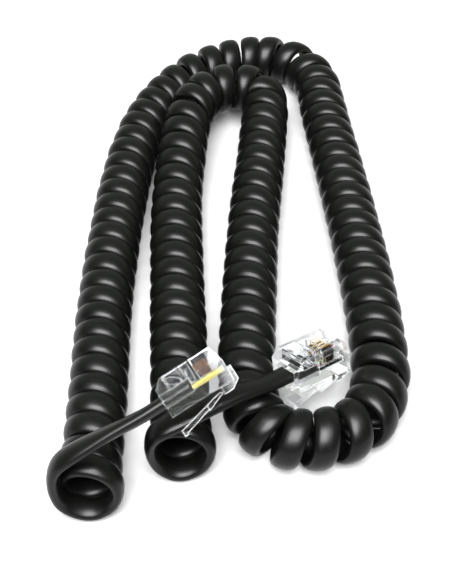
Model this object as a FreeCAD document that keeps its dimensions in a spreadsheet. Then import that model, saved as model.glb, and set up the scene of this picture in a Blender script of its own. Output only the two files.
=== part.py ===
import FreeCAD, Part
import math
import os

import Sketcher
from FreeCAD import Placement, Rotation, Vector

# Coiled telephone handset cord with a 4-contact modular plug on each end.
#
# The cord lies on a flat surface (z = 0) in an M of four arms. +Z is up, +Y runs away from the two
# cord ends along the arms, +X is to the right, and the origin is the middle of the footprint.
# In a plug's own frame x runs from the cord entry to the nose and z from the latch side to the
# contact side; its origin is the middle of the lower rear edge. Every length is in millimetres.

DIMENSIONS = {
    # cord
    "CoilDiameter": 11.0,
    "CoilBore": 6.4,
    "CordWidth": 4.6,
    "CordThickness": 2.3,
    "LeadDiameter": 3.4,
    # plug body
    "PlugLength": 12.3,
    "PlugWidth": 7.65,
    "PlugHeight": 6.6,
    "RearHeight": 5.2,
    "RearBevel": 1.5,
    "NoseTop": 10.9,
    "NoseEnd": 11.7,
    "NoseFoot": 11.4,
    "NoseKnee": 3.5,
    "EdgeRadius": 0.2,
    # root of the latch on the nose
    "RootWidth": 5.2,
    "RootTop": 2.3,
    "RootStart": 9.03,
    "RootInside": 0.6,
    "RootLip": 0.2,
    "RootDrop": 1.3,
    "RootBevelStart": 10.7,
    # cord cavity and the windows of the two clamps
    "JacketFloor": 1.75,
    "JacketInsert": 5.2,
    "JacketTail": 0.4,
    "JacketGap": 0.2,
    "CavityDepth": 5.5,
    "JacketWindowStart": 1.8,
    "JacketWindowEnd": 4.6,
    "JacketWindowWidth": 5.4,
    "WireWindowStart": 5.0,
    "WireWindowEnd": 6.5,
    "WireWindowWidth": 4.6,
    "CutMargin": 0.5,
    # clamp bars
    "ClampGap": 0.1,
    "JacketClampHeel": 5.3,
    "JacketClampBack": 6.1,
    "JacketClampCrest": 5.9,
    "JacketClampShoulder": 3.2,
    "JacketClampBite": 3.3,
    "JacketClampToe": 4.3,
    "JacketClampToeTop": 4.8,
    "WireClampStart": 5.3,
    "WireClampCrestStart": 5.6,
    "WireClampToe": 6.1,
    "WireClampFoot": 2.97,
    "WireClampHeel": 4.4,
    "WireClampShoulder": 4.6,
    "WireClampTop": 5.6,
    # wires
    "ContactPitch": 1.02,
    "WireDiameter": 0.95,
    "WireEnd": 11.0,
    "ChamberFloor": 2.0,
    "ChamberHeight": 1.0,
    "ChamberWidth": 4.2,
    "ChamberEnd": 11.1,
    # contact blades and their slots
    "BladeThickness": 0.35,
    "BladeStart": 6.9,
    "BladeEnd": 9.3,
    "BladeTop": 5.5,
    "BladeStep": 0.6,
    "BladeShoulder": 4.2,
    "BladeRoot": 3.1,
    "BladeTip": 2.2,
    "RearToothTip": 7.85,
    "RearToothEnd": 8.2,
    "FrontToothStart": 8.6,
    "FrontToothTip": 8.95,
    "SlotWidth": 0.6,
    "SlotFloor": 4.3,
    # latch tab
    "HingeAlong": 8.6,
    "HingeDrop": 0.82,
    "LatchFront": 8.85,
    "LatchFrontTop": 0.68,
    "LatchFrontFoot": 0.98,
    "LatchNeck": 8.35,
    "LatchNeckTop": 0.5,
    "LatchNeckFoot": 1.15,
    "LatchStep": 5.6,
    "LatchStepTop": 1.14,
    "LatchBaseFoot": 2.25,
    "LatchTongueFoot": 2.02,
    "LatchTipTop": 2.45,
    "LatchTipFoot": 3.35,
    "LatchBaseWidth": 5.0,
    "LatchTongueWidth": 3.2,
    "LipLength": 0.7,
    "LipFoot": 3.6,
}

# Corners of the coil's axis, from the open end beside lead A to the one beside lead B. The inner of the
# two far bends leans on the outer one, so it lies higher.
COIL_ROUTE = [
    (-25.6, -67.4, 5.5), (-25.4, -49.0, 5.5), (-26.3, -24.0, 5.5), (-25.3, 5.0, 5.5),
    (-23.3, 27.1, 5.5), (-18.9, 43.5, 5.5), (-9.6, 56.7, 5.5), (3.1, 62.6, 5.5), (13.4, 61.5, 5.5),
    (19.8, 54.0, 5.5), (20.5, 41.0, 5.5), (22.7, 20.0, 5.5), (25.3, -9.0, 5.5), (26.4, -30.0, 5.5),
    (26.2, -44.2, 5.5), (21.7, -53.0, 5.5), (12.5, -56.1, 5.5), (4.9, -54.3, 5.5), (1.5, -47.2, 5.5),
    (1.4, -38.0, 5.5), (1.9, -26.0, 5.5), (3.2, 0.0, 5.5), (5.4, 22.0, 5.5), (6.2, 31.0, 5.8),
    (8.0, 40.5, 6.8), (3.2, 46.0, 8.4), (-4.4, 45.4, 9.0), (-9.6, 39.3, 9.2), (-11.6, 30.0, 8.6),
    (-12.6, 17.5, 6.3), (-13.1, 6.0, 5.5), (-12.1, -18.0, 5.5), (-10.9, -43.0, 5.5),
    (-10.1, -62.3, 5.5),
]

# Corners of each lead's axis, from the coil's last turn to where it lines up with the plug.
LEAD_ROUTES = {
    "a": [(-30.2, -65.8, 6.5), (-30.2, -65.9, 12.4), (-27.4, -65.6, 15.4), (-21.9, -63.6, 17.8)],
    "b": [(-15.1, -60.2, 6.2), (-15.2, -60.1, 12.0), (-12.2, -59.0, 14.7), (-6.8, -55.8, 15.2),
          (-0.4, -51.7, 14.4)],
}
STRAIGHT_ENTRY = 4.6

# Where each plug lies: its origin, then heading, nose-up tilt and roll in degrees.
PLUG_POSES = {
    "a": ((-10.8, -61.9, 20.0), 25.5, 21.0, -54.5),
    "b": ((8.5, -47.3, 9.5), 35.0, -5.0, -20.0),
}
WIRE_COLOURS = {
    "a": ["yellow", "green", "red", "black"],
    "b": ["black", "red", "green", "yellow"],
}
CONTACTS = 4
HALF_ROW = (CONTACTS - 1) / 2
ARC_SHARE = 0.45
WIRE_GAP = 0.005
FUSE_OVERLAP = 0.1

document = FreeCAD.newDocument("handset_cord")
sheet = document.addObject("Spreadsheet::Sheet", "Dims")
nodes = []


def fill_sheet():
    for row, (alias, value) in enumerate(DIMENSIONS.items(), start=1):
        sheet.set(f"A{row}", alias)
        sheet.set(f"B{row}", str(value))
        sheet.setAlias(f"B{row}", alias)
    document.recompute()


def size(alias):
    return float(sheet.get(alias))


def in_sheet(sum_of_words):
    """A sum such as 'PlugLength - RootLip' with each alias written as a reference to the sheet."""
    return " ".join("Dims." + word if word in DIMENSIONS else word for word in sum_of_words.split())


def evaluate(sum_of_words):
    """The number that such a sum stands for."""
    total = 0.0
    sign = 1.0
    for word in sum_of_words.split():
        if word in ("+", "-"):
            sign = -1.0 if word == "-" else 1.0
        else:
            total += sign * (size(word) if word in DIMENSIONS else float(word))
    return total


def keep(thing, name, placement):
    """Makes a finished sub-part a node: its label names its file."""
    thing.Label = name
    thing.Placement = placement
    nodes.append(thing)
    return thing


# Sketches and features of a PartDesign body

def new_body(name):
    return document.addObject("PartDesign::Body", name + "_body")


def origin_feature(body, role):
    return next(feature for feature in body.Origin.OriginFeatures if feature.Role == role)


def pin(sketch, kind, corner, value, expression):
    number = sketch.addConstraint(Sketcher.Constraint(kind, -1, 1, corner, 1, value))
    sketch.setExpression(f"Constraints[{number}]", in_sheet(expression))


def outline(body, name, corners):
    """A closed outline on the body's XZ plane, each corner a pair of sums in the sheet's aliases."""
    sketch = body.newObject("Sketcher::SketchObject", name)
    sketch.AttachmentSupport = [(origin_feature(body, "XZ_Plane"), "")]
    sketch.MapMode = "FlatFace"
    points = [Vector(evaluate(along), evaluate(up), 0) for along, up in corners]
    count = len(points)
    for index, point in enumerate(points):
        sketch.addGeometry(Part.LineSegment(point, points[(index + 1) % count]), False)
    for index in range(count):
        sketch.addConstraint(Sketcher.Constraint("Coincident", index, 2, (index + 1) % count, 1))
    for index, (along, up) in enumerate(corners):
        pin(sketch, "DistanceX", index, points[index].x, along)
        pin(sketch, "DistanceY", index, points[index].y, up)
    return sketch


def extrude(body, kind, name, sketch, width):
    """A pad or pocket of that full width, half of it each side of its sketch."""
    feature = body.newObject("PartDesign::" + kind, name)
    feature.Profile = sketch
    feature.SideType = "Symmetric"
    feature.setExpression("Length", in_sheet(width))
    document.recompute()
    return feature


def pad(body, name, corners, width):
    return extrude(body, "Pad", name, outline(body, name + "Outline", corners), width)


def pocket(body, name, corners, width):
    """A pocket that must take material away."""
    before = body.Shape.Volume
    feature = extrude(body, "Pocket", name, outline(body, name + "Outline", corners), width)
    if not body.Shape.Volume < before:
        raise RuntimeError(f"{name} cuts nothing")
    return feature


def box_outline(start, end, bottom, top):
    return [(start, bottom), (end, bottom), (end, top), (start, top)]


def repeat_across(body, name, features):
    """Repeats the first contact's slots across the plug, once for each contact."""
    pattern = body.newObject("PartDesign::LinearPattern", name)
    pattern.Originals = features
    pattern.Direction = (origin_feature(body, "Y_Axis"), [""])
    pattern.setExpression("Length", f"{CONTACTS - 1} * Dims.ContactPitch")
    pattern.Occurrences = CONTACTS
    body.Tip = pattern
    document.recompute()
    return pattern


def first_slot(body, name, corners, width):
    """A pocket at the first contact's place, half the row of contacts from the middle."""
    sketch = outline(body, name + "Outline", corners)
    sketch.AttachmentOffset = Placement(Vector(0, 0, HALF_ROW * size("ContactPitch")), Rotation())
    sketch.setExpression("AttachmentOffset.Base.z", f"{HALF_ROW} * Dims.ContactPitch")
    return extrude(body, "Pocket", name, sketch, width)


# The plug's pieces

def plug_shell(body):
    shell = pad(body, "Shell", [
        ("0", "0"), ("NoseFoot", "0"), ("NoseEnd", "NoseKnee"), ("NoseTop", "PlugHeight"),
        ("RearBevel", "PlugHeight"), ("0", "RearHeight"),
    ], "PlugWidth")
    rounding = body.newObject("PartDesign::Fillet", "Rounding")
    rounding.Base = (shell, ["Edge1"])
    rounding.UseAllEdges = True
    rounding.setExpression("Radius", "Dims.EdgeRadius")
    document.recompute()


def latch_root(body):
    pad(body, "LatchRoot", [
        ("RootStart", "RootInside"), ("RootStart", "0 - RootDrop"), ("RootBevelStart", "0 - RootDrop"),
        ("PlugLength", "0 - RootLip"), ("PlugLength", "RootTop"), ("NoseTop", "RootTop"),
        ("NoseTop", "RootInside"),
    ], "RootWidth")


def cord_cavities(body):
    above = "PlugHeight + CutMargin"
    jacket_top = "JacketFloor + CordThickness"
    chamber_top = "ChamberFloor + ChamberHeight"
    cavity = box_outline("0 - CutMargin", "CavityDepth", "JacketFloor", jacket_top + " + JacketGap")
    chamber = box_outline("JacketInsert", "ChamberEnd", "ChamberFloor", chamber_top)
    jacket_window = box_outline("JacketWindowStart", "JacketWindowEnd", jacket_top, above)
    wire_window = box_outline("WireWindowStart", "WireWindowEnd", chamber_top, above)
    pocket(body, "Cavity", cavity, "CordWidth + JacketGap + JacketGap")
    pocket(body, "Chamber", chamber, "ChamberWidth")
    pocket(body, "JacketWindow", jacket_window, "JacketWindowWidth")
    pocket(body, "WireWindow", wire_window, "WireWindowWidth")


def contact_slots(body):
    above = "PlugHeight + CutMargin"
    spring_slot = box_outline("BladeStart", "PlugLength", "SlotFloor", above)
    blade_slot = box_outline("BladeStart", "BladeEnd", "BladeTip", above)
    repeat_across(body, "ContactSlots", [
        first_slot(body, "SpringSlot", spring_slot, "SlotWidth"),
        first_slot(body, "BladeSlot", blade_slot, "BladeThickness"),
    ])


def make_plug_body(name, placement):
    body = new_body(name)
    plug_shell(body)
    latch_root(body)
    cord_cavities(body)
    contact_slots(body)
    keep(body, name, placement)


def make_latch(name, placement):
    body = new_body(name)
    pad(body, "Base", [
        ("LatchStep", "0 - LatchStepTop"), ("LatchNeck", "0 - LatchNeckTop"),
        ("LatchFront", "0 - LatchFrontTop"), ("LatchFront", "0 - LatchFrontFoot"),
        ("LatchNeck", "0 - LatchNeckFoot"), ("LatchStep", "0 - LatchBaseFoot"),
    ], "LatchBaseWidth")
    pad(body, "Tongue", [
        ("0", "0 - LatchTipTop"), ("LatchStep", "0 - LatchStepTop"), ("LatchStep", "0 - LatchTongueFoot"),
        ("LipLength", "0 - LatchTipFoot"), ("LipLength", "0 - LipFoot"), ("0", "0 - LipFoot"),
    ], "LatchTongueWidth")
    keep(body, name, placement)


def make_contact(name, placement):
    body = new_body(name)
    pad(body, "Blade", [
        ("BladeStart", "BladeTop"), ("BladeStart", "BladeShoulder"),
        ("BladeStart + BladeStep", "BladeShoulder"), ("BladeStart + BladeStep", "BladeRoot"),
        ("RearToothTip", "BladeTip"), ("RearToothEnd", "BladeRoot"),
        ("FrontToothStart", "BladeRoot"), ("FrontToothTip", "BladeTip"),
        ("BladeEnd", "BladeRoot"), ("BladeEnd", "BladeTop"),
    ], "BladeThickness")
    keep(body, name, placement)


def make_jacket_clamp(name, placement):
    body = new_body(name)
    jacket_top = "JacketFloor + CordThickness"
    pad(body, "Bar", [
        ("JacketWindowStart", "JacketClampHeel"), ("JacketWindowStart", "JacketClampBack"),
        ("JacketClampShoulder", "JacketClampCrest"), ("JacketClampToe", "JacketClampToeTop"),
        ("JacketClampToe", jacket_top), ("JacketClampBite", jacket_top),
    ], "JacketWindowWidth - ClampGap - ClampGap")
    keep(body, name, placement)


def make_wire_clamp(name, placement):
    body = new_body(name)
    pad(body, "Bar", [
        ("WireClampStart", "WireClampFoot"), ("WireClampToe", "WireClampFoot"),
        ("WireWindowEnd", "WireClampHeel"), ("WireWindowEnd", "WireClampTop"),
        ("WireClampCrestStart", "WireClampTop"), ("WireClampStart", "WireClampShoulder"),
    ], "WireWindowWidth - ClampGap - ClampGap")
    keep(body, name, placement)


def make_wire(name, placement):
    wire = document.addObject("Part::Cylinder", name + "_wire")
    wire.setExpression("Radius", "Dims.WireDiameter / 2")
    wire.setExpression("Height", "Dims.WireEnd - Dims.JacketInsert")
    along_plug = Rotation(Vector(0, 1, 0), 90)
    height = size("ChamberFloor") + size("WireDiameter") / 2 + WIRE_GAP
    keep(wire, name, placement * Placement(Vector(size("JacketInsert"), 0, height), along_plug))


def plug_placement(letter):
    origin, heading, tilt, roll = PLUG_POSES[letter]
    turn = Rotation(Vector(0, 0, 1), heading)
    turn = turn * Rotation(Vector(0, 1, 0), -tilt) * Rotation(Vector(1, 0, 0), roll)
    return Placement(Vector(*origin), turn)


def make_plug(letter):
    placement = plug_placement(letter)
    prefix = f"plug_{letter}_"
    make_plug_body(prefix + "body", placement)
    make_latch(prefix + "latch", placement)
    make_jacket_clamp(prefix + "jacket_clamp", placement)
    make_wire_clamp(prefix + "wire_clamp", placement)
    for index, colour in enumerate(WIRE_COLOURS[letter]):
        across = (index - HALF_ROW) * size("ContactPitch")
        here = placement * Placement(Vector(0, across, 0), Rotation())
        make_contact(f"{prefix}contact_{index + 1}", here)
        make_wire(f"{prefix}wire_{colour}", here)


# The cord

def rounded_route(corners):
    """Straight runs joined by tangent arcs, each as large as its two runs allow, and the arcs' radii."""
    edges = []
    radii = []
    start = corners[0]
    for before, corner, after in zip(corners, corners[1:], corners[2:]):
        back = (before - corner).normalize()
        onward = (after - corner).normalize()
        turn = math.pi - back.getAngle(onward)
        reach = ARC_SHARE * min(before.distanceToPoint(corner), after.distanceToPoint(corner))
        radius = reach / math.tan(turn / 2)
        inward = (back + onward).normalize()
        centre = corner + inward * (radius / math.cos(turn / 2))
        arc_start = corner + back * reach
        arc_end = corner + onward * reach
        arc_middle = centre - inward * radius
        edges.append(Part.LineSegment(start, arc_start).toShape())
        edges.append(Part.Arc(arc_start, arc_middle, arc_end).toShape())
        radii.append(radius)
        start = arc_end
    edges.append(Part.LineSegment(start, corners[-1]).toShape())
    return Part.Wire(edges), radii


def make_spine(name, corners):
    route, radii = rounded_route(corners)
    spine = document.addObject("Part::Feature", name)
    spine.Shape = route
    print(name, "length", round(route.Length, 1), "arc radii", [round(radius, 1) for radius in radii])
    return spine


def check_volume(name, volume, section, length):
    """Prints a bar's volume beside its section times its length, which must agree."""
    print(name, "volume", round(volume, 1), "section times length", round(section * length, 1))


def sweep_circle(name, spine, diameter_alias):
    """A round bar along the spine."""
    first = spine.Shape.OrderedEdges[0]
    circle = document.addObject("Part::Circle", name + "_section")
    circle.setExpression("Radius", f"Dims.{diameter_alias} / 2")
    circle.Placement = Placement(first.Vertexes[0].Point, Rotation(Vector(0, 0, 1), first.tangentAt(0)))
    document.recompute()
    sweep = document.addObject("Part::Sweep", name)
    sweep.Sections = [circle]
    sweep.Spine = (spine, [f"Edge{index + 1}" for index in range(len(spine.Shape.Edges))])
    sweep.Solid = True
    sweep.Frenet = False
    document.recompute()
    section = math.pi * size(diameter_alias) ** 2 / 4
    check_volume(name, sweep.Shape.Volume, section, spine.Shape.Length)
    return sweep


def make_coil():
    """The wound cord as one fat tube: as wide as the coil, and open along its bore."""
    spine = make_spine("coil_axis", [Vector(*corner) for corner in COIL_ROUTE])
    first = spine.Shape.OrderedEdges[0]
    discs = [
        Part.Face(Part.Wire(Part.makeCircle(size(alias) / 2, first.Vertexes[0].Point, first.tangentAt(0))))
        for alias in ("CoilDiameter", "CoilBore")
    ]
    ring = discs[0].cut(discs[1]).Faces[0]
    coil = document.addObject("Part::Feature", "coil_tube")
    coil.Shape = spine.Shape.makePipe(ring)
    check_volume("coil_tube", coil.Shape.Volume, ring.Area, spine.Shape.Length)
    keep(coil, "coil_jacket", Placement())


def jacket_end(letter, placement):
    """The flat oval end of the jacket inside the plug: a box with a round bar on each side."""
    flat = "Dims.CordWidth - Dims.CordThickness"
    length = "Dims.JacketInsert + Dims.JacketTail"
    middle = document.addObject("Part::Box", f"jacket_end_{letter}")
    middle.setExpression("Length", length)
    middle.setExpression("Width", flat)
    middle.setExpression("Height", "Dims.CordThickness")
    half_flat = evaluate("CordWidth - CordThickness") / 2
    corner = Vector(-size("JacketTail"), -half_flat, size("JacketFloor"))
    middle.Placement = placement * Placement(corner, Rotation())
    pieces = [middle]
    for side in (-1, 1):
        edge = document.addObject("Part::Cylinder", f"jacket_edge_{letter}")
        edge.setExpression("Radius", "Dims.CordThickness / 2")
        edge.setExpression("Height", length)
        height = size("JacketFloor") + size("CordThickness") / 2
        start = Vector(-size("JacketTail"), side * half_flat, height)
        edge.Placement = placement * Placement(start, Rotation(Vector(0, 1, 0), 90))
        pieces.append(edge)
    return pieces


def make_lead(letter):
    placement = plug_placement(letter)
    height = size("JacketFloor") + size("CordThickness") / 2
    corners = [Vector(*corner) for corner in LEAD_ROUTES[letter]]
    for along in (-STRAIGHT_ENTRY, FUSE_OVERLAP - size("JacketTail")):
        corners.append(placement.multVec(Vector(along, 0, height)))
    spine = make_spine(f"lead_{letter}_axis", corners)
    lead = document.addObject("Part::MultiFuse", f"lead_{letter}_tube")
    lead.Shapes = [sweep_circle(f"lead_{letter}_bar", spine, "LeadDiameter")] + jacket_end(letter, placement)
    keep(lead, f"lead_{letter}_jacket", Placement())


def check_objects():
    """Stops if any object of the document failed, which a recompute alone doesn't report."""
    document.recompute()
    for thing in document.Objects:
        if "Invalid" in thing.State or "Error" in thing.State:
            raise RuntimeError(f"{thing.Label} failed: {thing.State}")
    for node in nodes:
        if node.Shape.isNull() or not node.Shape.isValid() or not node.Shape.Solids:
            raise RuntimeError(f"{node.Label} has no valid solid")


def write_nodes():
    os.makedirs("parts", exist_ok=True)
    for node in nodes:
        node.Shape.exportStep(f"parts/{node.Label}.step")


def print_frames():
    whole = Part.makeCompound([node.Shape for node in nodes]).BoundBox
    print("box", whole)
    for letter in PLUG_POSES:
        placement = plug_placement(letter)
        hinge = placement.multVec(Vector(size("HingeAlong"), 0, -size("HingeDrop")))
        across = placement.Rotation.multVec(Vector(0, 1, 0))
        print(f"latch {letter} hinge", hinge, "axis", across)


fill_sheet()
make_coil()
for plug_letter in PLUG_POSES:
    make_lead(plug_letter)
    make_plug(plug_letter)
check_objects()
write_nodes()
print_frames()
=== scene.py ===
import math
import random
from bisect import bisect_right

import bpy
from mathutils import Matrix, Vector


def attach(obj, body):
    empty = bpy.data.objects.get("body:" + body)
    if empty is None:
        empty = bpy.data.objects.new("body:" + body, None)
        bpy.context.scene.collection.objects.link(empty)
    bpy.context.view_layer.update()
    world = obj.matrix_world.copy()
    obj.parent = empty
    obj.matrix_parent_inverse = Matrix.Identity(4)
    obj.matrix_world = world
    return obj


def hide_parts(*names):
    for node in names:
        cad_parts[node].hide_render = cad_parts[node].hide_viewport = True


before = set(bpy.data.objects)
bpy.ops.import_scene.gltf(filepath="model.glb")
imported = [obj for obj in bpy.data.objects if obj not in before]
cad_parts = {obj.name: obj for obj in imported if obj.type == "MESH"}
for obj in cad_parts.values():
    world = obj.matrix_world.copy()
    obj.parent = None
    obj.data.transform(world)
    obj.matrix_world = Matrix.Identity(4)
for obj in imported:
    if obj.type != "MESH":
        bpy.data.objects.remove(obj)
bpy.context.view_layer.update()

# A coiled telephone handset cord with a clear modular plug on each end, laid back and forth in arms.
# Lengths are in metres, in the part's frame: z = 0 is the floor, +Y runs along the arms away from the
# plugs. In a plug's own frame x runs from the cord entry to the nose and z to the contact side.

# The cord: its turns and flat oval section, how finely it is drawn, and how it enters a plug.
TURN_RADIUS = 0.00435
HALF_WIDTH = 0.0023
HALF_THICKNESS = 0.00115
SECTION_POWER = 2.15
SECTION_POINTS = 16
STEPS_PER_TURN = 44
AXIS_STEP = 0.0005
LEAD_STEP = 0.00065
JACKET_END = 0.0052
ENTRY = 0.0003
STRAIGHT_ENTRY = 0.0046
JACKET_HEIGHT = 0.0029
LEAVING = 0.0021
LEAD_TURN_START = 0.15
LEAD_TURN_SHARE = 0.5
TURN_WAVER = 0.00006
WAVER_SEED = 7
BEND_SPAN = 8

# Corners of the coil's axis, from the open end beside lead A to the one beside lead B. The inner of the
# two far bends leans on the outer one, so it lies higher.
COIL_ROUTE = [
    (-0.0256, -0.0666, 0.0055), (-0.0254, -0.0490, 0.0055), (-0.0263, -0.0240, 0.0055),
    (-0.0253, 0.0050, 0.0055), (-0.0233, 0.0271, 0.0055), (-0.0189, 0.0435, 0.0055),
    (-0.0096, 0.0573, 0.0055), (0.0031, 0.0632, 0.0055), (0.0134, 0.0621, 0.0055),
    (0.0198, 0.0540, 0.0055), (0.0205, 0.0410, 0.0055), (0.0227, 0.0200, 0.0055),
    (0.0253, -0.0090, 0.0055), (0.0264, -0.0300, 0.0055), (0.0262, -0.0442, 0.0055),
    (0.0217, -0.0530, 0.0055), (0.0125, -0.0561, 0.0055), (0.0049, -0.0543, 0.0055),
    (0.0015, -0.0472, 0.0055), (0.0014, -0.0380, 0.0055), (0.0019, -0.0260, 0.0055),
    (0.0032, 0.0000, 0.0055), (0.0054, 0.0220, 0.0055), (0.0061, 0.0310, 0.0058),
    (0.0072, 0.0438, 0.0070), (0.0032, 0.0466, 0.0084), (-0.0044, 0.0454, 0.0090),
    (-0.0096, 0.0393, 0.0092), (-0.0116, 0.0300, 0.0086), (-0.0126, 0.0175, 0.0063),
    (-0.0131, 0.0060, 0.0055), (-0.0121, -0.0180, 0.0055), (-0.0109, -0.0430, 0.0055),
    (-0.0101, -0.0586, 0.0055),
]

# Corners of each lead's axis, from the coil's last turn to where it lines up with the plug.
LEAD_ROUTES = {
    "a": [(-0.0299, -0.0666, 0.0027), (-0.0312, -0.0665, 0.0069), (-0.0308, -0.0662, 0.0124),
          (-0.0274, -0.0656, 0.0154), (-0.0219, -0.0636, 0.0178)],
    "b": [(-0.0142, -0.0586, 0.0027), (-0.0155, -0.0585, 0.0068), (-0.0150, -0.0588, 0.0112),
          (-0.0124, -0.0589, 0.0138), (-0.0072, -0.0564, 0.0147), (-0.0004, -0.0519, 0.0143)],
}

# How many turns of the coil are wound by each distance along its axis, from AXIS_TRIM before its start.
AXIS_TRIM = 0.0005
TURNS_WOUND = [
    (0.0, 0.2), (0.0070, 1.75), (0.0120, 2.75), (0.0210, 4.75), (0.0300, 6.75), (0.0475, 10.75),
    (0.0615, 13.75), (0.0795, 17.7), (0.0990, 21.7), (0.1190, 25.7), (0.1245, 26.65),
    (0.1305, 27.65), (0.1410, 29.65), (0.1455, 30.65), (0.1515, 31.65), (0.1585, 32.7),
    (0.1740, 35.7), (0.1940, 39.7), (0.2080, 42.75), (0.2300, 47.75), (0.2485, 51.75),
    (0.2600, 53.75), (0.2650, 54.8), (0.2760, 56.85), (0.2855, 58.8), (0.2900, 59.8),
    (0.2995, 61.75), (0.3180, 65.75), (0.3365, 69.75), (0.3650, 75.75), (0.3795, 78.75),
    (0.3845, 79.85), (0.3895, 80.85), (0.4010, 82.85), (0.4055, 83.8), (0.4115, 84.75),
    (0.4215, 86.75), (0.4260, 87.75), (0.4455, 91.75), (0.4645, 95.75), (0.4815, 99.75),
    (0.5000, 103.75), (0.5020, 104.2), (0.5100, 106.0),
]
FIRST_TURN_ANGLE = math.pi

# The loosened turns at the coil's two open ends.
OPEN_END_RADII = (0.00508, 0.0050)
OPEN_END_TURNS = 1.1

# Where each plug lies: its origin, then heading, nose-up tilt and roll in degrees.
PLUG_POSES = {
    "a": ((-0.0108, -0.0619, 0.0200), 25.5, 21.0, -54.5),
    "b": ((0.0085, -0.0473, 0.0095), 35.0, -5.0, -20.0),
}

# The plugs' clear plastic, made whiter at its edges as a painted highlight for their bright outlines
# and cloudy white at the nose, and the skins of their wires.
PLASTIC_IOR = {"a": 1.08, "b": 1.17}
PAINTED_HIGHLIGHT_EDGE_RADIUS = 0.00042
NOSE_START = 0.0095
NOSE_FULL = 0.0112
WIRES = {"black": (0.012, 0.012, 0.012), "red": (0.20, 0.02, 0.015),
         "green": (0.02, 0.25, 0.08), "yellow": (0.30, 0.24, 0.006)}


# Smooth lines

def smooth_line(corners, resolution=24):
    """Points along the open NURBS spline that these corners control."""
    curve = bpy.data.curves.new("guide", "CURVE")
    curve.dimensions = "3D"
    curve.resolution_u = resolution
    spline = curve.splines.new("NURBS")
    spline.points.add(len(corners) - 1)
    for point, corner in zip(spline.points, corners):
        point.co = (*corner, 1.0)
    spline.order_u = 3
    spline.use_endpoint_u = True
    guide = bpy.data.objects.new("guide", curve)
    bpy.context.scene.collection.objects.link(guide)
    bpy.context.view_layer.update()
    mesh = bpy.data.meshes.new_from_object(guide)
    points = [vertex.co.copy() for vertex in mesh.vertices]
    bpy.data.objects.remove(guide)
    bpy.data.curves.remove(curve)
    bpy.data.meshes.remove(mesh)
    return points


def distances(points):
    total = [0.0]
    for before, after in zip(points, points[1:]):
        total.append(total[-1] + (after - before).length)
    return total


def even_points(points, step):
    """The same line in equal steps of about that length."""
    along = distances(points)
    count = max(2, round(along[-1] / step))
    result = []
    for index in range(count + 1):
        reach = along[-1] * index / count
        near = min(max(bisect_right(along, reach) - 1, 0), len(points) - 2)
        share = (reach - along[near]) / (along[near + 1] - along[near])
        result.append(points[near].lerp(points[near + 1], share))
    return result


def directions(points):
    last = len(points) - 1
    spans = [points[min(i + 1, last)] - points[max(i - 1, 0)] for i in range(last + 1)]
    return [span.normalized() for span in spans]


def smooth_step(share):
    share = min(max(share, 0.0), 1.0)
    return share * share * (3.0 - 2.0 * share)


def between(table, key):
    """The value at key in a table of (key, value) rows, on straight lines between them."""
    for (key_0, value_0), (key_1, value_1) in zip(table, table[1:]):
        if key <= key_1:
            return value_0 + (value_1 - value_0) * (key - key_0) / (key_1 - key_0)
    return table[-1][1]


# The plugs' places

def plug_matrix(letter):
    origin, heading, tilt, roll = PLUG_POSES[letter]
    turn = Matrix.Rotation(math.radians(heading), 4, "Z")
    turn = turn @ Matrix.Rotation(math.radians(-tilt), 4, "Y")
    turn = turn @ Matrix.Rotation(math.radians(roll), 4, "X")
    return Matrix.Translation(origin) @ turn


def across_plug(letter):
    return (plug_matrix(letter).to_3x3() @ Vector((0.0, 1.0, 0.0))).normalized()


# The cord

def uneven_radius(turn, waver):
    """A turn's radius, which drifts a little from turn to turn."""
    whole = int(turn)
    step = waver[whole + 1] - waver[whole]
    return TURN_RADIUS + TURN_WAVER * (waver[whole] + step * smooth_step(turn - whole))


def open_end_swell(index, first, last):
    """How much wider the turns are towards the coil's open ends."""
    swell = 0.0
    for steps_to_end, wide in zip((index - first, last - index), OPEN_END_RADII):
        from_end = steps_to_end / (STEPS_PER_TURN * OPEN_END_TURNS)
        swell += (wide - TURN_RADIUS) * (1.0 - smooth_step(from_end))
    return swell


def coil_turns():
    """Centre, width direction and half width of the cord for each step of the coil's turns."""
    axis = even_points(smooth_line(COIL_ROUTE), AXIS_STEP)
    ahead = directions(axis)
    along = distances(axis)
    wound = [between(TURNS_WOUND, reach + AXIS_TRIM) for reach in along]
    up = Vector((0.0, 0.0, 1.0))
    first, last = round(wound[0] * STEPS_PER_TURN), int(wound[-1] * STEPS_PER_TURN)
    uneven = random.Random(WAVER_SEED)
    waver = [uneven.uniform(-1.0, 1.0) for turn in range(int(wound[-1]) + 3)]
    steps = []
    for index in range(first, last + 1):
        turn = index / STEPS_PER_TURN
        near = min(max(bisect_right(wound, turn) - 1, 0), len(axis) - 2)
        share = (turn - wound[near]) / (wound[near + 1] - wound[near])
        centre = axis[near].lerp(axis[near + 1], share)
        tangent = ahead[near].lerp(ahead[near + 1], share).normalized()
        right = tangent.cross(up).normalized()
        angle = FIRST_TURN_ANGLE + 2.0 * math.pi * turn
        outward = math.cos(angle) * right + math.sin(angle) * up
        radius = uneven_radius(turn, waver) + open_end_swell(index, first, last)
        centre = centre + up * max(radius - TURN_RADIUS, 0.0)
        low, high = max(near - BEND_SPAN, 0), min(near + BEND_SPAN, len(axis) - 1)
        bend = (ahead[high] - ahead[low]) / (along[high] - along[low])
        pitch = (along[high] - along[low]) / (wound[high] - wound[low])
        room = pitch * (1.0 - radius * bend.dot(outward))
        steps.append((centre + radius * outward, tangent, min(HALF_WIDTH, 0.5 * room)))
    return steps


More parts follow.
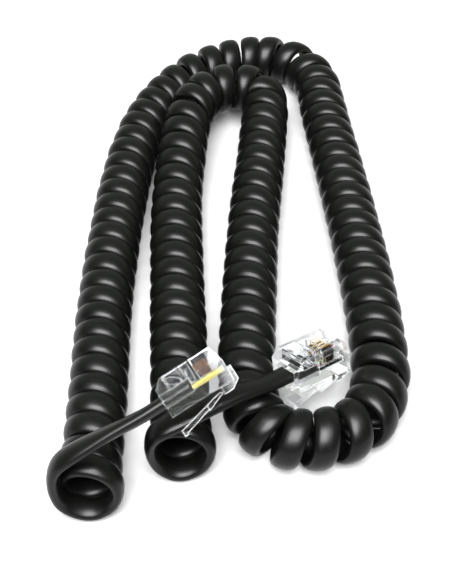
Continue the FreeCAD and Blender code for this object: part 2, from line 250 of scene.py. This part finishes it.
def lead_line(letter, turn_end, away):
    """A lead's axis from the jacket's end inside its plug to the coil's nearest turn."""
    place = plug_matrix(letter)
    corners = [place @ Vector((x, 0.0, JACKET_HEIGHT)) for x in (JACKET_END, -ENTRY, -STRAIGHT_ENTRY)]
    corners += [Vector(corner) for corner in reversed(LEAD_ROUTES[letter])]
    corners += [turn_end + LEAVING * away, turn_end]
    return even_points(smooth_line(corners), LEAD_STEP)


def lead_steps(points, plug_side, coil_side):
    """Steps of a lead whose width turns from across the plug to along the coil."""
    last = len(points) - 1
    steps = []
    for index, point in enumerate(points):
        share = smooth_step((index / last - LEAD_TURN_START) / LEAD_TURN_SHARE)
        steps.append((point, plug_side.lerp(coil_side, share).normalized(), HALF_WIDTH))
    return steps


def cord_steps():
    turns = coil_turns()
    first_way = (turns[0][0] - turns[1][0]).normalized()
    last_way = (turns[-1][0] - turns[-2][0]).normalized()
    lead_a = lead_line("a", turns[0][0], first_way)
    lead_b = lead_line("b", turns[-1][0], last_way)
    steps = lead_steps(lead_a, across_plug("a"), turns[0][1])[:-1]
    steps += turns
    steps += list(reversed(lead_steps(lead_b, -across_plug("b"), turns[-1][1])))[1:]
    return steps


def section_outline():
    outline = []
    for index in range(SECTION_POINTS):
        angle = 2.0 * math.pi * (index + 0.5) / SECTION_POINTS
        across, through = math.cos(angle), math.sin(angle)
        outline.append((math.copysign(abs(across) ** (2.0 / SECTION_POWER), across),
                        math.copysign(abs(through) ** (2.0 / SECTION_POWER), through)))
    return outline


def make_cord():
    """The cord's mesh piece, its centreline and its length."""
    steps = cord_steps()
    centres = [step[0] for step in steps]
    along = distances(centres)
    outline = section_outline()
    vertices = []
    for (centre, wide, half_width), ahead in zip(steps, directions(centres)):
        wide = (wide - wide.dot(ahead) * ahead).normalized()
        thick = ahead.cross(wide)
        for across, through in outline:
            vertices.append(centre + across * half_width * wide + through * HALF_THICKNESS * thick)
    faces = []
    for ring in range(len(steps) - 1):
        for index in range(SECTION_POINTS):
            after = (index + 1) % SECTION_POINTS
            here, there = ring * SECTION_POINTS, (ring + 1) * SECTION_POINTS
            faces.append((here + index, here + after, there + after, there + index))
    faces.append(tuple(reversed(range(SECTION_POINTS))))
    faces.append(tuple(len(vertices) - SECTION_POINTS + index for index in range(SECTION_POINTS)))
    mesh = bpy.data.meshes.new("cord")
    mesh.from_pydata(vertices, [], faces)
    mesh.shade_smooth()
    layer = mesh.uv_layers.new(name="length")
    for polygon in mesh.polygons:
        for loop in polygon.loop_indices:
            ring, index = divmod(mesh.loops[loop].vertex_index, SECTION_POINTS)
            layer.data[loop].uv = (along[ring], index / SECTION_POINTS)
    cord = bpy.data.objects.new("cord", mesh)
    bpy.context.scene.collection.objects.link(cord)
    return cord, centres, along[-1]


# Materials

def new_material(name):
    material = bpy.data.materials.new(name)
    material.use_nodes = True
    return material, material.node_tree, material.node_tree.nodes["Principled BSDF"]


def add_node(tree, kind, **values):
    node = tree.nodes.new("ShaderNode" + kind)
    for key, value in values.items():
        if key in node.inputs:
            node.inputs[key].default_value = value
        else:
            setattr(node, key, value)
    return node


def noise(tree, scale, detail=4.0, stretch=(1.0, 1.0, 1.0)):
    """Noise in the part's frame, with features of about 1 / scale metres."""
    place = add_node(tree, "TexCoord")
    mapping = add_node(tree, "Mapping", Scale=stretch)
    texture = add_node(tree, "TexNoise", Scale=scale, Detail=detail)
    tree.links.new(place.outputs["Object"], mapping.inputs["Vector"])
    tree.links.new(mapping.outputs["Vector"], texture.inputs["Vector"])
    return texture.outputs["Fac"]


def remap(tree, source, low, high, start=0.3, end=0.7):
    node = add_node(tree, "MapRange")
    for key, value in (("From Min", start), ("From Max", end), ("To Min", low), ("To Max", high)):
        node.inputs[key].default_value = value
    tree.links.new(source, node.inputs["Value"])
    return node.outputs["Result"]


def two_tones(tree, source, dark, light, start=0.35, end=0.65):
    ramp = add_node(tree, "ValToRGB")
    ramp.color_ramp.elements[0].position = start
    ramp.color_ramp.elements[0].color = (*dark, 1.0)
    ramp.color_ramp.elements[1].position = end
    ramp.color_ramp.elements[1].color = (*light, 1.0)
    tree.links.new(source, ramp.inputs["Fac"])
    return ramp.outputs["Color"]


def raise_surface(tree, shader, source, distance, strength=1.0):
    bump = add_node(tree, "Bump", Distance=distance, Strength=strength)
    tree.links.new(source, bump.inputs["Height"])
    tree.links.new(bump.outputs["Normal"], shader.inputs["Normal"])


def cord_material():
    material, tree, shader = new_material("cord_jacket")
    shader.inputs["IOR"].default_value = 1.28
    place = add_node(tree, "UVMap", uv_map="length")
    mapping = add_node(tree, "Mapping", Scale=(60.0, 22.0, 1.0))
    streaks = add_node(tree, "TexNoise", Scale=1.0, Detail=3.0)
    tree.links.new(place.outputs["UV"], mapping.inputs["Vector"])
    tree.links.new(mapping.outputs["Vector"], streaks.inputs["Vector"])
    cloud = noise(tree, 260.0)
    black = two_tones(tree, cloud, (0.0009, 0.0011, 0.0009), (0.0016, 0.0018, 0.0015))
    tree.links.new(black, shader.inputs["Base Color"])
    tree.links.new(remap(tree, streaks.outputs["Fac"], 0.32, 0.40), shader.inputs["Roughness"])
    raise_surface(tree, shader, streaks.outputs["Fac"], 0.00001, 0.6)
    return material


def edge_mask(tree, radius):
    """1 near the edges of a hard-edged shape and 0 on its flat faces."""
    rounded = add_node(tree, "Bevel", samples=6, Radius=radius)
    true = add_node(tree, "NewGeometry")
    across = add_node(tree, "VectorMath", operation="DOT_PRODUCT")
    tree.links.new(rounded.outputs["Normal"], across.inputs[0])
    tree.links.new(true.outputs["Normal"], across.inputs[1])
    return remap(tree, across.outputs["Value"], 1.0, 0.0, 0.86, 0.99)


def nose_mask(tree, letter):
    """1 at a plug's nose, where the latch's root is, and 0 behind it."""
    place = add_node(tree, "TexCoord")
    along = add_node(tree, "VectorMath", operation="DOT_PRODUCT")
    ahead = plug_matrix(letter).to_3x3() @ Vector((1.0, 0.0, 0.0))
    along.inputs[1].default_value = ahead
    tree.links.new(place.outputs["Object"], along.inputs[0])
    entry = ahead.dot(plug_matrix(letter).translation)
    start, full = entry + NOSE_START, entry + NOSE_FULL
    return remap(tree, along.outputs["Value"], 0.0, 1.0, start, full)


def clear_material(letter):
    material, tree, shader = new_material("clear_polycarbonate_" + letter)
    shader.inputs["IOR"].default_value = PLASTIC_IOR[letter]
    cloud = noise(tree, 900.0)
    pale = two_tones(tree, cloud, (0.95, 0.96, 0.97), (0.98, 0.99, 1.0))
    tree.links.new(pale, shader.inputs["Base Color"])
    tree.links.new(remap(tree, cloud, 0.01, 0.04), shader.inputs["Roughness"])
    milky_nose_and_painted_edges = add_node(tree, "Math", operation="MULTIPLY")
    # Painted highlight: near its edges the plastic lets less light through and so looks whiter,
    # standing in for the bright outlines that light gives a clear plastic's edges.
    clear_with_painted_edge_highlight = remap(tree, edge_mask(tree, PAINTED_HIGHLIGHT_EDGE_RADIUS), 1.0, 0.80, 0.0, 1.0)
    clear_rear = remap(tree, nose_mask(tree, letter), 1.0, 0.92, 0.0, 1.0)
    tree.links.new(clear_with_painted_edge_highlight, milky_nose_and_painted_edges.inputs[0])
    tree.links.new(clear_rear, milky_nose_and_painted_edges.inputs[1])
    tree.links.new(milky_nose_and_painted_edges.outputs["Value"], shader.inputs["Transmission Weight"])
    raise_surface(tree, shader, noise(tree, 260.0, 2.0), 0.00001, 0.08)
    return material


def contact_material(letter):
    """Gold on the working edges of a plug's blades, and a near-black painted on their flat sides as
    painted shade, where the plastic slots shade them.
    """
    material, tree, shader = new_material("contact_" + letter)
    shader.inputs["Metallic"].default_value = 1.0
    facing = add_node(tree, "NewGeometry")
    side = add_node(tree, "VectorMath", operation="DOT_PRODUCT")
    side.inputs[1].default_value = across_plug(letter)
    tree.links.new(facing.outputs["Normal"], side.inputs[0])
    flat = add_node(tree, "Math", operation="ABSOLUTE")
    tree.links.new(side.outputs["Value"], flat.inputs[0])
    # Painted shade: the blades' flat sides get a dark colour in place of gold, for the shade of the
    # plastic slots around them.
    gold, painted_slot_shade = (0.95, 0.60, 0.20), (0.013, 0.007, 0.004)
    gold_with_painted_shade = two_tones(tree, flat.outputs["Value"], gold, painted_slot_shade, 0.8, 0.95)
    tree.links.new(gold_with_painted_shade, shader.inputs["Base Color"])
    grain = noise(tree, 1400.0, 3.0, (1.0, 1.0, 6.0))
    tree.links.new(remap(tree, grain, 0.25, 0.40), shader.inputs["Roughness"])
    raise_surface(tree, shader, grain, 0.00001, 0.5)
    return material


def wire_material(name, colour):
    material, tree, shader = new_material("wire_" + name)
    cloud = noise(tree, 1100.0)
    darker = tuple(0.75 * part for part in colour)
    tree.links.new(two_tones(tree, cloud, darker, colour), shader.inputs["Base Color"])
    tree.links.new(remap(tree, cloud, 0.22, 0.34), shader.inputs["Roughness"])
    raise_surface(tree, shader, cloud, 0.00001, 0.4)
    return material


def floor_material():
    material, tree, shader = new_material("floor")
    cloud = noise(tree, 3.0, 2.0)
    grey = two_tones(tree, cloud, (0.30, 0.30, 0.30), (0.32, 0.32, 0.32))
    tree.links.new(grey, shader.inputs["Base Color"])
    shader.inputs["Roughness"].default_value = 0.9
    shader.inputs["Emission Color"].default_value = (1.0, 1.0, 1.0, 1.0)
    shader.inputs["Emission Strength"].default_value = 0.03
    shader.inputs["Specular IOR Level"].default_value = 0.1
    return material


def dress(node, material):
    node.data.materials.clear()
    node.data.materials.append(material)


def dress_plugs():
    clear = {letter: clear_material(letter) for letter in PLUG_POSES}
    contacts = {letter: contact_material(letter) for letter in PLUG_POSES}
    wires = {colour: wire_material(colour, value) for colour, value in WIRES.items()}
    for name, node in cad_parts.items():
        if not name.startswith("plug_"):
            continue
        letter = name.split("_")[1]
        if "contact" in name:
            dress(node, contacts[letter])
        elif "wire_clamp" not in name and "wire" in name:
            dress(node, wires[name.rsplit("_", 1)[1]])
        else:
            dress(node, clear[letter])


# The studio

def add_area(name, place, target, width, height, power):
    light = bpy.data.lights.new(name, "AREA")
    light.shape = "RECTANGLE"
    light.size = width
    light.size_y = height
    light.energy = power
    lamp = bpy.data.objects.new(name, light)
    lamp.location = place
    lamp.rotation_euler = (Vector(target) - Vector(place)).to_track_quat("-Z", "Y").to_euler()
    bpy.context.scene.collection.objects.link(lamp)


def make_floor():
    mesh = bpy.data.meshes.new("floor")
    reach = 2.0
    corners = [(-reach, -reach, 0), (reach, -reach, 0), (reach, reach, 0), (-reach, reach, 0)]
    mesh.from_pydata(corners, [], [(0, 1, 2, 3)])
    mesh.materials.append(floor_material())
    floor = bpy.data.objects.new("floor", mesh)
    bpy.context.scene.collection.objects.link(floor)


def make_studio():
    """A soft light from the front and a room that is brighter towards the far side."""
    make_floor()
    world = bpy.data.worlds.new("studio")
    world.use_nodes = True
    tree = world.node_tree
    room = tree.nodes["Background"]
    place = add_node(tree, "TexCoord")
    split = add_node(tree, "SeparateXYZ")
    tree.links.new(place.outputs["Generated"], split.inputs["Vector"])
    room.inputs["Color"].default_value = (0.96, 1.0, 0.93, 1.0)
    brightness = remap(tree, split.outputs["Y"], 0.01, 0.66, -0.3, 0.8)
    tree.links.new(brightness, room.inputs["Strength"])
    bpy.context.scene.world = world
    add_area("key", (-0.05, -0.30, 0.60), (0.0, 0.0, 0.0), 0.52, 0.52, 26.5)
    bpy.context.scene.view_settings.view_transform = "Standard"


def place_camera():
    camera = bpy.data.cameras.new("camera")
    camera.sensor_width = 36.0
    camera.lens = 67.8
    camera.clip_start = 0.01
    viewer = bpy.data.objects.new("camera", camera)
    viewer.location = (-0.0024, -0.172, 0.161)
    viewer.rotation_euler = (math.radians(44.5), 0.0, 0.0)
    bpy.context.scene.collection.objects.link(viewer)
    bpy.context.scene.camera = viewer


place_camera()
cord, centres, length = make_cord()
cord.data.materials.append(cord_material())
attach(cord, "cord")
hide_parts("coil_jacket", "lead_a_jacket", "lead_b_jacket")
print("cord length", round(length, 4))
dress_plugs()
make_studio()
